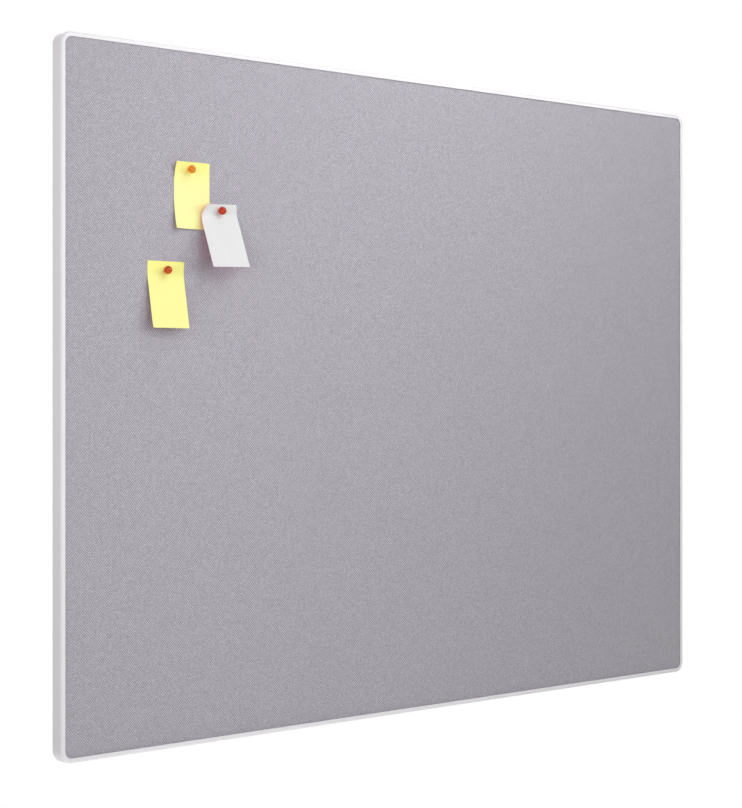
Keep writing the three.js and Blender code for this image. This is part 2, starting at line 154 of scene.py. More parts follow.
class PINBOARD_PG_clips(bpy.types.PropertyGroup):
    """The pressed wall clips whose tongues run in the rear channel."""

    joggle_run: length("Joggle run", "Length of the step down to the wall", 0.003)
    inner_bend: length("Inner bend", "Inside radius of the pressed bends", 0.0006)
    corner_round: length("Corner round", "Radius of the plate's corners", 0.004)
    slot_width: length("Slot width", "Width of the slot for the wall screw", 0.0055)
    slot_length: length("Slot length", "Length of the slot for the wall screw", 0.014)
    edge_round: length("Edge round", "Radius of the deburred edges", 0.0002)


class PINBOARD_PG_notes(bpy.types.PropertyGroup):
    """The paper notes."""

    thickness: length("Thickness", "Thickness of the paper", 0.00016)
    cell: length("Cell", "Spacing of a note's mesh", 0.0012)
    # Depth of the painted band of pin shade and bounce light at a note's top
    painted_bounce_depth: length("Top band", "Depth of the deeper tone at a note's top", 0.035)
    yellow: colour("Yellow", "Front of the upper yellow note", (0.98, 0.95, 0.42))
    # Painted light: the same yellow paper as the upper note, its colour shifted to stand in for the
    # light that falls on the lower note
    lower_yellow_with_painted_light: colour("Lower yellow", "Front of the lower yellow note", (0.98, 0.95, 0.36))
    # Painted light: a deeper yellow near the top edge stands in for shade and bounce light round
    # the pin
    painted_bounce_yellow: colour("Deep yellow", "Yellow notes near their top edge", (0.98, 0.95, 0.29))
    yellow_back: colour("Yellow back", "Back of the yellow notes", (0.98, 0.5, 0.4))
    white: colour("White", "Front of the white note", (0.805, 0.835, 0.83))
    pink: colour("Pink", "Back of the white note", (1, 0.2, 0.5))
    yellow_entry: amount("Yellow entry", "Light that enters a yellow note's front", 0.08)
    white_entry: amount("White entry", "Light that enters the white note's front", 0.15)
    back_passing: amount("Back passing", "Light that passes a note's back", 0.5)


class PINBOARD_PG_pins(bpy.types.PropertyGroup):
    """The ball-headed pins."""

    ball_radius: length("Ball radius", "Radius of a pin's ball", 0.0053)
    foot_radius: length("Foot radius", "Radius of the flat under the ball", 0.0018)
    needle_radius: length("Needle radius", "Radius of the needle", 0.0006)
    needle_point: length("Needle point", "Length of the needle's taper", 0.0025)
    socket_depth: length("Socket depth", "How far the needle stands in the ball", 0.004)
    # Painted light: the three balls are one plastic; their colours differ to stand in for how each
    # pin is lit, such as yellow bounce from the paper under it
    upper: colour("Upper pin", "Ball on the upper yellow note", (0.95, 0.36, 0.015))
    middle: colour("Middle pin", "Ball on the white note", (0.74, 0.05, 0.003))
    lower: colour("Lower pin", "Ball on the lower yellow note", (0.7, 0.1, 0.002))
    clearness: amount("Clearness", "Share of a ball's plastic that is clear", 0.65)


class PINBOARD_PG_stage(bpy.types.PropertyGroup):
    """The camera, the lights and the floor."""

    key: power("Key", "Far light in front, to the right, that casts the shadows", 130)
    upper: power("Upper", "Large light close in front of the board and above it", 10.9)
    lower: power("Lower", "Large light close in front of the board's left half", 3.1)
    side: power("Side", "Large light in front, far to the left", 70)
    edge: power("Edge", "Light on the board's left edge", 9.5)
    below: power("Below", "Light from below the board, as from a pale floor", 14.5)
    rear: power("Rear", "Large light behind the board", 75)
    ambient: amount("Ambient", "Even light from all round", 0.04)
    floor_drop: length("Floor drop", "From the camera's height down to the floor", 2.4)
    floor_radius: length("Floor radius", "Radius of the floor", 4.5)
    floor: colour("Floor", "Pale floor", (0.82, 0.82, 0.81))


GROUPS = {
    "pinboard_frame": PINBOARD_PG_frame,
    "pinboard_board": PINBOARD_PG_board,
    "pinboard_clips": PINBOARD_PG_clips,
    "pinboard_notes": PINBOARD_PG_notes,
    "pinboard_pins": PINBOARD_PG_pins,
    "pinboard_stage": PINBOARD_PG_stage,
}


# Finishes

def sum_on_signals(operation):
    """An operator between a signal and another value, and its reflected form."""
    def straight(signal, other):
        return signal.finish.sum(operation, signal, other)

    def reflected(signal, other):
        return signal.finish.sum(operation, other, signal)

    return straight, reflected


class Signal:
    """What a socket of a finish's nodes gives out. A sum on it adds the nodes that work it out."""

    __add__, __radd__ = sum_on_signals("ADD")
    __sub__, __rsub__ = sum_on_signals("SUBTRACT")
    __mul__, __rmul__ = sum_on_signals("MULTIPLY")
    __truediv__, __rtruediv__ = sum_on_signals("DIVIDE")

    def __init__(self, finish, socket):
        self.finish = finish
        self.socket = socket

    def __abs__(self):
        return self.finish.sum("ABSOLUTE", self)

    def sine(self):
        return self.finish.sum("SINE", self)

    def sign(self):
        return self.finish.sum("SIGN", self)

    def floor(self):
        return self.finish.sum("FLOOR", self)

    def over(self, other):
        """The larger of two values."""
        return self.finish.sum("MAXIMUM", self, other)

    def rising(self, low, high):
        """0 below low, 1 above high, and a smooth rise between them."""
        values = {"Value": self, "From Min": low, "From Max": high}
        return self.finish.node("ShaderNodeMapRange", {"interpolation_type": "SMOOTHSTEP"}, values)


class Finish:
    """A material in the making: its shader, and the nodes that feed it."""

    def __init__(self, name, **constants):
        self.material = bpy.data.materials.new(name)
        self.material.use_nodes = True
        self.tree = self.material.node_tree
        self.shader = self.tree.nodes["Principled BSDF"]
        self.place = self.node("ShaderNodeTexCoord", {}, {}, "Object")
        for socket, value in constants.items():
            self.shader.inputs[socket.replace("_", " ")].default_value = value

    def node(self, kind, settings, values, output=0):
        """A node of one type. Its settings are made first, then its sockets' values or links."""
        made = self.tree.nodes.new(kind)
        for name, value in settings.items():
            setattr(made, name, value)
        for key, value in values.items():
            socket = made.inputs[key]
            if isinstance(value, Signal):
                self.tree.links.new(value.socket, socket)
            elif socket.type == "RGBA":
                socket.default_value = (*value, 1)
            elif socket.type == "VECTOR" and isinstance(value, (int, float)):
                socket.default_value = (value, value, value)
            else:
                socket.default_value = value
        return Signal(self, made.outputs[output])

    def sum(self, operation, *values):
        """A Math node, or a Vector Math node where one of the values is a vector or a colour."""
        signals = [value for value in values if isinstance(value, Signal)]
        vector = any(signal.socket.type in ("VECTOR", "RGBA") for signal in signals)
        kind = "ShaderNodeVectorMath" if vector else "ShaderNodeMath"
        return self.node(kind, {"operation": operation}, dict(enumerate(values)))

    def parts(self):
        """The X, Y and Z of a place on the piece."""
        apart = self.node("ShaderNodeSeparateXYZ", {}, {0: self.place}).socket.node
        return [Signal(self, socket) for socket in apart.outputs]

    def noise(self, size, detail=2):
        """Clouds about 0.5 with features of one size, or of one size along each axis."""
        sizes = size if isinstance(size, tuple) else (size, size, size)
        spread = self.place * tuple(1 / each for each in sizes)
        return self.node("ShaderNodeTexNoise", {}, {"Vector": spread, "Scale": 1, "Detail": detail})

    def chance(self, across, up):
        """A random value from 0 to 1 for each pair of whole numbers."""
        pair = self.node("ShaderNodeCombineXYZ", {}, {0: across, 1: up})
        return self.node("ShaderNodeTexWhiteNoise", {"noise_dimensions": "2D"}, {"Vector": pair})

    def between(self, factor, first, second):
        """A colour that goes from the first to the second as the factor goes from 0 to 1."""
        values = {0: factor, 6: first, 7: second}
        return self.node("ShaderNodeMix", {"data_type": "RGBA"}, values, 2)

    def dimmed(self, shade, by):
        """A colour made darker or lighter by a factor."""
        start = shade if isinstance(shade, Signal) else tuple(shade)
        return self.node("ShaderNodeVectorMath", {"operation": "SCALE"}, {0: start, 3: by})

    def feed(self, name, signal):
        self.tree.links.new(signal.socket, self.shader.inputs[name])

    def relief(self, height, depth):
        """A height from 0 to 1 as a relief of that depth, in metres."""
        self.feed("Normal", self.node("ShaderNodeBump", {}, {"Height": height, "Distance": depth}))

    def let_light_through(self, share, shade):
        """Lets a share of the light enter, as paper does, and tints what comes out again."""
        through = self.node("ShaderNodeBsdfTranslucent", {}, {"Color": shade})
        surface = Signal(self, self.shader.outputs[0])
        mixed = self.node("ShaderNodeMixShader", {}, {0: share, 1: surface, 2: through})
        out = self.tree.nodes["Material Output"]
        self.tree.links.new(mixed.socket, out.inputs["Surface"])


def powder_coat(shade):
    """Satin powder coat: a faint orange peel, and a tone and gloss that drift a little."""
    coat = Finish("white_powder_coat", Coat_Weight=0.04, Specular_IOR_Level=0.25)
    peel = coat.noise(0.0011, detail=1)
    drift = coat.noise(0.07)
    specks = coat.noise(0.0005).rising(0.62, 0.75)
    coat.feed("Base Color", coat.dimmed(shade, 0.985 + 0.03 * drift - 0.025 * specks))
    coat.feed("Roughness", 0.46 + 0.12 * drift + 0.06 * peel)
    coat.relief(peel, 0.00002)
    return coat.material


def moulded_plastic(shade):
    """Moulded plastic with a fine spark-eroded grain."""
    plastic = Finish("moulded_white_plastic", Specular_IOR_Level=0.25)
    grain = plastic.noise(0.0004, detail=3)
    flow = plastic.noise((0.012, 0.03, 0.012))
    plastic.feed("Base Color", plastic.dimmed(shade, 0.985 + 0.03 * flow))
    plastic.feed("Roughness", 0.46 + 0.12 * grain)
    plastic.relief(grain, 0.000018)
    return plastic.material


def zinc_plate(shade):
    """Zinc on rolled steel: rolling marks, cloudy passivation and small scuffs."""
    zinc = Finish("zinc_plated_steel", Metallic=1)
    rolled = zinc.noise((0.02, 0.004, 0.0003), detail=3)
    cloud = zinc.noise(0.006, detail=3)
    scuffs = zinc.noise((0.0005, 0.003, 0.006), detail=4).rising(0.58, 0.7)
    tinted = zinc.between(cloud.rising(0.35, 0.65), shade, (0.57, 0.54, 0.48))
    zinc.feed("Base Color", zinc.dimmed(tinted, 0.9 + 0.15 * rolled))
    zinc.feed("Roughness", 0.36 + 0.2 * cloud + 0.15 * scuffs)
    zinc.relief(rolled + 0.5 * scuffs, 0.00001)
    return zinc.material


def hardboard(shade):
    """The back of hardboard, pressed on a wire mesh: a woven imprint over matted brown fibre, with
    painted shade along the imprint's grooves.
    """
    board = Finish("hardboard_screen_side", Specular_IOR_Level=0.25)
    x, _, z = board.parts()
    mesh_pitch = 0.0016
    half_turns = math.pi / mesh_pitch
    imprint_and_groove_shade = abs((x * half_turns).sine()) * abs((z * half_turns).sine())
    fibre = board.noise((0.006, 0.002, 0.0012), detail=4)
    blot = board.noise(0.05)
    flecks = board.noise((0.003, 0.003, 0.0009), detail=3).rising(0.6, 0.72)
    brown = board.between(flecks, shade, (0.42, 0.29, 0.17))
    # Painted shade: the colour darkens along the imprint's grooves, where its relief is lowest.
    board.feed("Base Color", board.dimmed(brown, 0.55 + 0.4 * fibre + 0.3 * blot + 0.2 * imprint_and_groove_shade))
    board.feed("Roughness", 0.7 + 0.25 * fibre)
    board.relief(0.7 * imprint_and_groove_shade + 0.6 * fibre, 0.00025)
    return board.material


def fibre_board(shade):
    """Softboard: loosely felted wood fibre."""
    board = Finish("felted_softboard", Specular_IOR_Level=0.15)
    fibre = board.noise((0.004, 0.001, 0.0015), detail=5)
    flecks = board.noise(0.0012, detail=3).rising(0.58, 0.7)
    tan = board.between(flecks, shade, (0.3, 0.2, 0.11))
    board.feed("Base Color", board.dimmed(tan, 0.7 + 0.6 * fibre))
    board.feed("Roughness", 0.85 + 0.15 * fibre)
    board.relief(fibre, 0.0005)
    return board.material


def woven_fabric(looks):
    """A plain weave of mottled yarn. Threads wander, every crossing has its own tone, and the
    hollows between threads are painted darker as painted shade.
    """
    gloss = {"Sheen_Weight": 0.08, "Sheen_Roughness": 0.6, "Specular_IOR_Level": 0.15}
    cloth = Finish("woven_grey_fabric", **gloss)
    x, y, z = cloth.parts()
    wander = looks.pitch * 1.8
    warp_turn = (x + y + wander * cloth.noise((0.005, 0.005, 0.01))) / looks.pitch
    weft_turn = (z + y + wander * cloth.noise((0.01, 0.005, 0.005))) / looks.pitch
    across_warp, across_weft = (warp_turn * math.pi).sine(), (weft_turn * math.pi).sine()
    warp_height = across_warp.sign() * across_weft + abs(across_warp)
    weft_height = abs(across_weft) - across_weft.sign() * across_warp
    height = warp_height.over(weft_height) * 0.5
    warp_on_top = (warp_height - weft_height).rising(-0.2, 0.2)
    crossing = cloth.chance(warp_turn.floor(), weft_turn.floor())
    yarn = cloth.noise(looks.pitch * 0.35, detail=1)
    mottle = cloth.noise(0.005, detail=2)
    hue = cloth.noise(0.009, detail=2)
    thread = cloth.between(warp_on_top, looks.weft, looks.warp)
    tinted = thread * cloth.between(hue.rising(0.3, 0.7), (1.005, 1, 0.995), (0.995, 1, 1.005))
    # Painted shade: the colour darkens where the weave is low, between the threads; the crossing,
    # yarn and mottle terms are the yarn's own tone.
    tone_and_gap_shade = 0.37 + 0.36 * height.rising(0, 0.8) + 0.22 * crossing + 0.4 * yarn + 0.1 * mottle
    cloth.feed("Base Color", cloth.dimmed(tinted, tone_and_gap_shade))
    cloth.feed("Roughness", 0.85 + 0.15 * yarn)
    cloth.relief(height + 0.4 * yarn, looks.pitch * 0.2)
    return cloth.material


def note_paper(name, shade, painted_bounce_colour, share, looks, top):
    """Uncoated paper that lets a share of the light in, with painted shade and bounce light: a
    deeper colour near the top edge, round the pin.
    """
    paper = Finish(name, Roughness=0.8, Specular_IOR_Level=0.25)
    fibres = paper.noise((0.0016, 0.0016, 0.0005), detail=4)
    cloud = paper.noise(0.009)
    _, _, z = paper.parts()
    # Painted shade and bounce light: the colour deepens towards the top edge, round the pin
    painted_bounce_mask = z.rising(top - looks.painted_bounce_depth, top)
    with_painted_bounce = paper.between(painted_bounce_mask, shade, painted_bounce_colour)
    paper.feed("Base Color", paper.dimmed(with_painted_bounce, 0.975 + 0.03 * fibres + 0.02 * cloud))
    paper.relief(fibres + cloud, 0.00003)
    paper.let_light_through(share, shade)
    return paper.material


def pin_plastic(name, shade, clearness):
    """Glossy coloured plastic, partly clear, with faint flow marks."""
    plastic = Finish(name, IOR=1.49, Transmission_Weight=clearness, Specular_IOR_Level=0.25)
    flow = plastic.noise((0.003, 0.006, 0.003), detail=3)
    plastic.feed("Base Color", plastic.dimmed(shade, 0.9 + 0.2 * flow))
    plastic.feed("Roughness", 0.2 + 0.12 * flow)
    plastic.relief(plastic.noise(0.0012), 0.00001)
    return plastic.material


def needle_steel():
    """Drawn and polished steel wire."""
    steel = Finish("polished_needle_steel", Metallic=1)
    drawn = steel.noise((0.00015, 0.006, 0.00015), detail=3)
    steel.feed("Base Color", steel.dimmed((0.72, 0.73, 0.75), 0.92 + 0.12 * drawn))
    steel.feed("Roughness", 0.12 + 0.12 * drawn)
    steel.relief(drawn, 0.000004)
    return steel.material


def floor_paint(shade):
    """A plain pale floor with a faint mottle."""
    floor = Finish("pale_floor", Specular_IOR_Level=0.2)
    mottle = floor.noise(0.3, detail=3)
    floor.feed("Base Color", floor.dimmed(shade, 0.98 + 0.04 * mottle))
    floor.feed("Roughness", 0.75 + 0.1 * mottle)
    return floor.material


finishes = {}


def finish_of(maker, *settings):
    """A material that is made once and then shared."""
    if maker not in finishes:
        finishes[maker] = maker(*settings)
    return finishes[maker]


# Meshes

CHORD = 0.00035
CUT_OVERRUN = 0.002
SAME_PLACE = 1e-7
SHARP_TURN = 0.6


def added(name, data):
    """A new object in the scene with that data."""
    made = bpy.data.objects.new(name, data)
    bpy.context.scene.collection.objects.link(made)
    return made


def solid(name, points, faces):
    """A mesh piece from its points and faces, with every face turned outward."""
    mesh = bpy.data.meshes.new(name)
    mesh.from_pydata([tuple(point) for point in points], [], faces)
    form = bmesh.new()
    form.from_mesh(mesh)
    bmesh.ops.remove_doubles(form, verts=form.verts, dist=SAME_PLACE)
    bmesh.ops.recalc_face_normals(form, faces=form.faces)
    form.to_mesh(mesh)
    form.free()
    return added(name, mesh)


def apply_modifiers(piece):
    """Makes what a piece's modifiers give into its own mesh."""
    depsgraph = bpy.context.evaluated_depsgraph_get()
    mesh = bpy.data.meshes.new_from_object(piece.evaluated_get(depsgraph))
    piece.modifiers.clear()
    old, name = piece.data, piece.data.name
    piece.data = mesh
    bpy.data.meshes.remove(old)
    mesh.name = name


def join_or_cut(piece, operation, *others):
    """Joins other bodies to a piece, or cuts them out of it, and deletes them."""
    for other in others:
        step = piece.modifiers.new("step", "BOOLEAN")
        step.operation = operation
        step.solver = "EXACT"
        step.object = other
        apply_modifiers(piece)
        bpy.data.objects.remove(other)


def round_edges(piece, radius):
    """Rounds a piece's sharp edges."""
    bevel = piece.modifiers.new("edges", "BEVEL")
    bevel.width = radius
    bevel.segments = 2
    bevel.limit_method = "ANGLE"
    bevel.angle_limit = SHARP_TURN


def smooth(piece, sharp_above=SHARP_TURN):
    """Shades a piece smooth, but for edges that turn by more than an angle."""
    piece.data.shade_smooth()
    piece.data.set_sharp_from_angle(angle=sharp_above)
    return piece


def make_crisp(piece, sharp_above=SHARP_TURN):
    """Shades a piece smooth, and keeps its large flat faces flat up to their rounded edges."""
    smooth(piece, sharp_above)
    flats = piece.modifiers.new("flats", "WEIGHTED_NORMAL")
    flats.keep_sharp = True


def quarter_turn(steps):
    """Angles from 0 to a quarter turn."""
    return [QUARTER * step / steps for step in range(steps + 1)]


def way_at(angle):
    """A way along the wall, turned up from the right by an angle."""
    return Vector((math.cos(angle), 0, math.sin(angle)))


def arc(middle, radius, start, turn):
    """Points along an arc, about a chord apart."""
    steps = max(2, round(abs(turn) * radius / CHORD))
    angles = [start + turn * step / steps for step in range(steps + 1)]
    return [middle + Vector((math.cos(angle), math.sin(angle))) * radius for angle in angles]


def outline_of(corners):
    """An outline from its corners, each given by two places and the radius that rounds it."""
    outline = []
    for i, (across, up, radius) in enumerate(corners):
        here = Vector((across, up))
        back = (Vector(corners[i - 1][:2]) - here).normalized()
        ahead = (Vector(corners[(i + 1) % len(corners)][:2]) - here).normalized()
        half = back.angle(ahead) / 2
        middle = here + (back + ahead).normalized() * (radius / math.sin(half))
        start = here + back * (radius / math.tan(half)) - middle
        way = math.copysign(1, back.x * ahead.y - back.y * ahead.x)
        turn = -way * (math.pi - 2 * half)
        outline += arc(middle, radius, math.atan2(start.y, start.x), turn)
    return outline


def oblong(wide, high, radius, middle=0):
    """The outline of an oblong with rounded corners, its middle at that height."""
    corners = [(-1, -1), (1, -1), (1, 1), (-1, 1)]
    return outline_of([(x * wide / 2, middle + y * high / 2, radius) for x, y in corners])


def swept(name, outline, stations):
    """A closed body through copies of an outline, each carried to its place by a matrix."""
    count = len(outline)
    points = [station @ Vector((*point, 0)) for station in stations for point in outline]
    faces = []
    for ring in range(len(stations) - 1):
        for i in range(count):
            first, second = ring * count + i, ring * count + (i + 1) % count
            faces.append((first, second, second + count, first + count))
    faces.append(range(count))
    faces.append(range(len(points) - count, len(points)))
    return solid(name, points, faces)


def grid_cells(columns, rows):
    """The faces of a grid of points that are numbered row by row."""
    stride = columns + 1
    starts = [row * stride + column for row in range(rows) for column in range(columns)]
    return [(at, at + 1, at + stride + 1, at + stride) for at in starts]


def grid_sides(columns, rows):
    """The numbers of the points along a grid's four sides, each from corner to corner."""
    stride, last = columns + 1, rows * (columns + 1)
    return [
        range(0, stride),
        range(columns, last + stride, stride),
        range(last + columns, last - 1, -1),
        range(last, -1, -stride),
    ]


def turned(name, profile, sides, place):
    """A body turned about the Y direction, from points of radius and level in front of a place.
    The profile starts and ends on the axis."""
    points, rings = [], []
    for radius, level in profile:
        count = sides if radius > 0 else 1
        rings.append([len(points) + i for i in range(count)])
        for i in range(count):
            angle = 2 * math.pi * i / sides
            offset = Vector((radius * math.cos(angle), -level, radius * math.sin(angle)))
            points.append(place + offset)
    faces = []
    for near, far in zip(rings, rings[1:]):
        for i in range(sides):
            ring = (near[i % len(near)], near[(i + 1) % len(near)],
                    far[(i + 1) % len(far)], far[i % len(far)])
            faces.append(tuple(dict.fromkeys(ring)))
    return solid(name, points, [face for face in faces if len(face) > 2])


def basis(across, up, along, place):
    """The matrix that carries an outline's own directions and origin to those given."""
    columns = Matrix((across, up, along)).transposed().to_4x4()
    return Matrix.Translation(place) @ columns


def dress(piece, node, body, slot, *materials):
    """Gives a new piece its finishes and its body, and lets it stand for its CAD node."""
    piece.data.materials.clear()
    for material in materials:
        piece.data.materials.append(material)
    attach(piece, body)
    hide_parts(node)


RIGHT, WALLWARD, UP = Vector((1, 0, 0)), Vector((0, 1, 0)), Vector((0, 0, 1))
OUTWARD = -WALLWARD


def extruded(name, section, half, place=Matrix()):
    """A body with one section in u and v all along X, half of it on each side of a place."""
    ends = [basis(UP, OUTWARD, RIGHT, (x, 0, 0)) for x in (-half, half)]
    return swept(name, section, [place @ end for end in ends])


def side_place(side):
    """Carries the bottom side's own frame to a side: the middle of its outer edge in the wall
    plane, with X along it and Z inward."""
    index = SIDES.index(side)
    reach = (board_width if index % 2 else board_height) / 2
    turn = Matrix.Rotation(index * QUARTER, 4, "Y")
    return Matrix.Translation(wall_middle) @ turn @ Matrix.Translation((0, 0, -reach))


def run_of(side):
    return board_height if SIDES.index(side) % 2 else board_width


def frame_section(sizes, open_channel):
    """The frame's cross-section in u and v. The moulded corners fill the rear channel."""
    edge, root = sizes.edge_round, sizes.root_round
    rib_rear = sizes.rear_lip + sizes.channel
    rib_front = rib_rear + sizes.rib
    lip_rear = frame_depth - sizes.lip_thickness
    channel = [
        (sizes.flange_width, sizes.rear_lip, edge),
        (sizes.wall, sizes.rear_lip, root),
        (sizes.wall, rib_rear, root),
        (sizes.flange_width, rib_rear, edge),
    ]
    return outline_of([
        (0, 0, edge),
        (sizes.flange_width, 0, edge),
        *(channel if open_channel else []),
        (sizes.flange_width, rib_front, edge),
        (sizes.wall, rib_front, root),
        (sizes.wall, lip_rear, root),
        (sizes.lip_width, lip_rear, edge),
        (sizes.lip_width, frame_depth, sizes.nose_round),
        (0, frame_depth, sizes.front_round),
    ])


def corner_radius(sizes):
    return sizes.flange_width + sizes.hollow_radius


def leg_middle(sizes):
    """How far a leg's and a screw's middle lies inward from the outer edge."""
    return (sizes.wall + sizes.flange_width) / 2


def channel_middle(sizes):
    """How far the middle of the rear channel lies in front of the wall."""
    return sizes.rear_lip + sizes.channel / 2


def screw_places(sizes, side):
    """Where the axes of a side's two screws meet the wall plane."""
    reach = corner_radius(sizes) + sizes.corner_arm
    shift = run_of(side) / 2 - reach - sizes.screw_from_seam
    inward = leg_middle(sizes)
    return [side_place(side) @ Vector((x, 0, inward)) for x in (-shift, shift)]


SCREW_SIDES = 40


def lip_hole(sizes, place):
    """The cutter for a countersunk hole through a rail's rear lip."""
    head, shank = sizes.screw_head + sizes.fit, sizes.screw_radius + sizes.fit
    end = channel_middle(sizes)
    return turned("lip_hole", [
        (0, -CUT_OVERRUN),
        (head, -CUT_OVERRUN),
        (head, sizes.head_sink),
        (shank, sizes.head_sink + sizes.head_height),
        (shank, end),
        (0, end),
    ], SCREW_SIDES, place)


class PinboardOperator(bpy.types.Operator):
    """What the builders share."""

    bl_options = {"REGISTER", "UNDO"}


class PINBOARD_OT_stage(PinboardOperator):
    """Sets up the camera, the lights, the surroundings and the pale floor."""

    bl_idname = "pinboard.stage"
    bl_label = "Stage"

    # The camera: rows and lengths in the photograph's pixels, its place from the board's middle
    photo_height = 808
    horizon_row = 381.406
    focal_pixels = 2035.62
    heading = math.radians(42.4991)
    camera_offset = Vector((-2.00313, -2.11146, 0.01951))
    sensor = 36
    floor_segments = 96
    white = (1, 1, 1)

    # Each light's place from the board's middle, its width, its height and its colour
    lamps = {
        "key": ((4.87, -3.34, 1.03), 1.7, 1.7, white),
        "upper": ((0.11, -0.75, 1.07), 1.1, 1.1, white),
        "lower": ((-0.51, -0.75, 0.065), 1.1, 1.1, white),
        "side": ((-4.2, -1.75, 0.35), 1.9, 1.9, white),
        "edge": ((-2.2, 0.5, 1), 0.8, 1.2, (1, 0.97, 1)),
        "below": ((-0.6, -0.3, -1.9), 1.4, 0.6, white),
        "rear": ((0.5, 2.4, 1.6), 2.6, 2.6, white),
    }

    def camera(self, scene):
        data = bpy.data.cameras.new("camera")
        data.sensor_width = self.sensor
        data.lens = self.focal_pixels / self.photo_height * self.sensor
        data.shift_y = (self.horizon_row - self.photo_height / 2) / self.photo_height
        eye = added("camera", data)
        eye.location = wall_middle + self.camera_offset
        eye.rotation_euler = (QUARTER, 0, -self.heading)
        scene.camera = eye

    def lamp(self, name, watts):
        """A soft light that faces the board's middle."""
        place, width, height, tint = self.lamps[name]
        data = bpy.data.lights.new(f"{name}_light", "AREA")
        data.shape = "RECTANGLE"
        data.size = width
        data.size_y = height
        data.energy = watts
        data.color = tint
        lamp = added(f"{name}_light", data)
        lamp.location = wall_middle + Vector(place)
        lamp.rotation_euler = (-Vector(place)).to_track_quat("-Z", "Y").to_euler()
        lamp.visible_camera = False

    def surroundings(self, scene, ambient):
        """Plain white behind everything, and a dimmer even light on the board."""
        world = bpy.data.worlds.new("white_surroundings")
        world.use_nodes = True
        nodes, links = world.node_tree.nodes, world.node_tree.links
        seen, lighting = nodes["Background"], nodes.new("ShaderNodeBackground")
        for background, strength in ((seen, 1), (lighting, ambient)):
            background.inputs["Color"].default_value = (*self.white, 1)
            background.inputs["Strength"].default_value = strength
        path = nodes.new("ShaderNodeLightPath")
        either = nodes.new("ShaderNodeMixShader")
        links.new(path.outputs["Is Camera Ray"], either.inputs[0])
        links.new(lighting.outputs[0], either.inputs[1])
        links.new(seen.outputs[0], either.inputs[2])
        links.new(either.outputs[0], nodes["World Output"].inputs["Surface"])
        scene.world = world

    def floor(self, looks):
        """A round floor below the camera's view."""
        level = wall_middle.z + self.camera_offset.z - looks.floor_drop
        sides, radius = self.floor_segments, looks.floor_radius
        form = bmesh.new()
        bmesh.ops.create_circle(form, cap_ends=True, segments=sides, radius=radius)
        mesh = bpy.data.meshes.new("floor")
        form.to_mesh(mesh)
        form.free()
        mesh.materials.append(finish_of(floor_paint, looks.floor))
        floor = added("floor", mesh)
        floor.location = (wall_middle.x, 0, level)

    def execute(self, context):
        scene = context.scene
        looks = scene.pinboard_stage
        scene.view_settings.view_transform = "Standard"
        self.camera(scene)
        self.surroundings(scene, looks.ambient)
        for name in self.lamps:
            self.lamp(name, getattr(looks, name))
        self.floor(looks)
        return {"FINISHED"}


class PINBOARD_OT_rails(PinboardOperator):
    """Builds the four powder-coated rails with their countersunk holes."""

    bl_idname = "pinboard.rails"
    bl_label = "Rails"

    def execute(self, context):
        sizes = context.scene.pinboard_frame
        section = frame_section(sizes, open_channel=True)
        coat = finish_of(powder_coat, sizes.coat)
        for side in SIDES:
            half = run_of(side) / 2 - corner_radius(sizes) - sizes.corner_arm - sizes.seam
            rail = extruded(f"{side}_rail_extrusion", section, half, side_place(side))
            holes = [lip_hole(sizes, place) for place in screw_places(sizes, side)]
            join_or_cut(rail, "DIFFERENCE", *holes)
            make_crisp(rail)
            dress(rail, f"{side}_rail", "board", "coated_aluminium", coat)
        return {"FINISHED"}


class PINBOARD_OT_corners(PinboardOperator):
    """Builds the four moulded corner pieces with their legs."""

    bl_idname = "pinboard.corners"
    bl_label = "Corners"

    bend_steps = 28
    pilot_sides = 32

    def stations(self, sizes):
        """Matrices that carry the section up the left arm, round the bend and along the other."""
        radius, arm = corner_radius(sizes), sizes.corner_arm
        bend = [(turn, 0) for turn in quarter_turn(self.bend_steps)]
        for turn, shift in [(0, -arm), *bend, (QUARTER, arm)]:
            inward = way_at(turn)
            along = inward.cross(OUTWARD)
            yield basis(inward, OUTWARD, along, along * shift - inward * radius)

    def leg(self, sizes, upright):
        """A leg that slides into a rail's rear channel, narrowed at its nose."""
        wide = sizes.flange_width - sizes.wall - 2 * sizes.fit
        thick = sizes.channel - 2 * sizes.fit
        section = oblong(wide, thick, sizes.root_round)
        offset = leg_middle(sizes) - corner_radius(sizes)
        level = channel_middle(sizes)
        end = sizes.corner_arm + sizes.leg_length
        along, across = (UP, RIGHT) if upright else (RIGHT, UP)
        stations = []
        for reach, share in [
            (sizes.corner_arm / 2, 1),
            (end - sizes.leg_nose, 1),
            (end, sizes.leg_nose_share),
        ]:
            place = along * reach + across * offset + OUTWARD * level
            stations.append(basis(across * share, OUTWARD * share, along, place))
        return swept("leg", section, stations)

    def pilot(self, sizes, upright):
        """The cutter for a screw's hole through a leg."""
        offset = leg_middle(sizes) - corner_radius(sizes)
        along = sizes.corner_arm + sizes.screw_from_seam
        place = Vector((offset, 0, along)) if upright else Vector((along, 0, offset))
        radius, top = sizes.screw_radius + sizes.fit, sizes.rear_lip + sizes.channel
        profile = [(0, 0), (radius, 0), (radius, top), (0, top)]
        return turned("pilot", profile, self.pilot_sides, place)

    def execute(self, context):
        sizes = context.scene.pinboard_frame
        section = frame_section(sizes, open_channel=False)
        plastic = finish_of(moulded_plastic, sizes.moulding)
        out = corner_radius(sizes)
        half_width, half_height = board_width / 2 - out, board_height / 2 - out
        ways = {"lower": -1, "upper": 1, "left": -1, "right": 1}
        for index, corner in enumerate(CORNERS):
            row, column = corner.split("_")
            piece = swept(f"{corner}_moulding", section, list(self.stations(sizes)))
            join_or_cut(piece, "UNION", *(self.leg(sizes, upright) for upright in (True, False)))
            join_or_cut(piece, "DIFFERENCE", *(self.pilot(sizes, way) for way in (True, False)))
            bend = Vector((ways[column] * half_width, 0, ways[row] * half_height))
            place = Matrix.Translation(wall_middle + bend)
            piece.data.transform(place @ Matrix.Rotation(index * QUARTER, 4, "Y"))
            make_crisp(piece)
            dress(piece, f"{corner}_corner", "board", "moulded_white", plastic)
        return {"FINISHED"}


